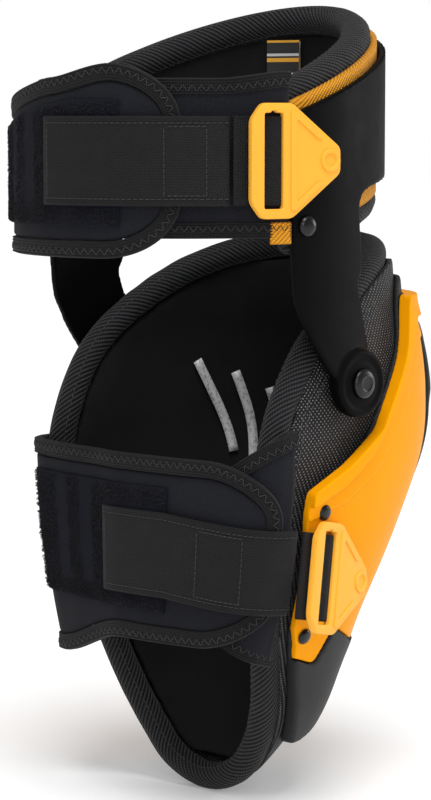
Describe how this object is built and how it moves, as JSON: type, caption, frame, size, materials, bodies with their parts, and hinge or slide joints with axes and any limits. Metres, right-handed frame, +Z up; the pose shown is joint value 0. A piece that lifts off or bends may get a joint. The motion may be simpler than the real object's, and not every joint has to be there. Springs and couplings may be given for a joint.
{
  "type": "hinged knee guard",
  "caption": "Hinged knee guard: padded knee cup under a yellow frame and black cap, with a thigh cuff on pivoted side arms and clip-on elastic straps.",
  "frame": {"origin": "centre of the bounding box's base, under the leg axis", "axes": "+Z up along the wearer's leg towards the thigh, the kneecap faces -Y, +X to the wearer's left"},
  "size_m": [0.1712, 0.2098, 0.3592],
  "materials": {
    "smooth_knit": "brushed black polyester knit",
    "eva_foam": "closed-cell foam, taken as light as fabric",
    "gel": "soft clear-blue gel",
    "woven_nylon": "black woven nylon with a light fleck",
    "mesh_binding": "black twill spacer mesh",
    "base_rubber": "dark grey moulded rubber, matte",
    "yellow_shell": "amber yellow moulded nylon, semi gloss",
    "cap_rubber": "black moulded rubber",
    "bracket_nylon": "black nylon",
    "washer_nylon": "black nylon",
    "black_rivet": "black domed rivet, gloss",
    "black_nylon": "black glass-filled nylon, satin",
    "yellow_mesh": "yellow spacer mesh",
    "neoprene": "blue-black knit-faced neoprene",
    "loop_pile": "blue-black hook-and-loop pile",
    "elastic_webbing": "black 38 mm woven elastic",
    "yellow_buckle": "light yellow acetal, satin"
  },
  "bodies": {
    "knee": {"knee_inner_lining": "smooth_knit", "knee_foam_core": "eva_foam", "knee_gel_pad": "gel", "knee_outer_cover": "woven_nylon", "knee_edge_binding": "mesh_binding", "knee_base_shell": "base_rubber", "knee_frame_shell": "yellow_shell", "knee_front_cap": "cap_rubber", "side_bracket_left": "bracket_nylon", "side_bracket_right": "bracket_nylon", "pivot_washer_left": "washer_nylon", "pivot_washer_right": "washer_nylon", "pivot_rivet_left": "black_rivet", "pivot_rivet_right": "black_rivet", "frame_rivet_upper_left": "black_rivet", "frame_rivet_lower_left": "black_rivet", "frame_rivet_upper_right": "black_rivet", "frame_rivet_lower_right": "black_rivet", "calf_strap_near": "neoprene", "calf_strap_wrap": "neoprene", "calf_loop_patch": "loop_pile", "calf_elastic": "elastic_webbing", "calf_buckle_stud": "black_rivet"},
    "thigh": {"thigh_frame": "black_nylon", "thigh_pad_lining": "smooth_knit", "thigh_pad_foam": "eva_foam", "thigh_pad_cover": "yellow_mesh", "thigh_top_roll": "mesh_binding", "thigh_bottom_roll": "mesh_binding", "thigh_strap_near": "neoprene", "thigh_strap_wrap": "neoprene", "thigh_loop_patch": "loop_pile", "thigh_elastic": "elastic_webbing", "thigh_buckle_stud": "black_rivet", "arm_rivet_left": "black_rivet", "arm_rivet_right": "black_rivet"},
    "thigh_buckle_body": {"thigh_buckle": "yellow_buckle", "thigh_elastic_tab": "elastic_webbing"},
    "calf_buckle_body": {"calf_buckle": "yellow_buckle", "calf_elastic_tab": "elastic_webbing"}
  },
  "joints": [
    {"name": "thigh_flex", "type": "hinge", "parent": "knee", "child": "thigh", "pos_m": [0, -0.0062, 0.192], "axis": [-1, 0, 0], "range_deg": [-5, 60]},
    {"name": "thigh_buckle_swivel", "type": "hinge", "parent": "thigh", "child": "thigh_buckle_body", "pos_m": [-0.08256, 0.01975, 0.29], "axis": [-0.9751, 0.2216, 0], "range_deg": [-6, 6]},
    {"name": "calf_buckle_swivel", "type": "hinge", "parent": "knee", "child": "calf_buckle_body", "pos_m": [-0.0742, -0.0092, 0.103], "axis": [-0.9788, -0.2041, 0.0164], "range_deg": [-2, 6]}
  ]
}
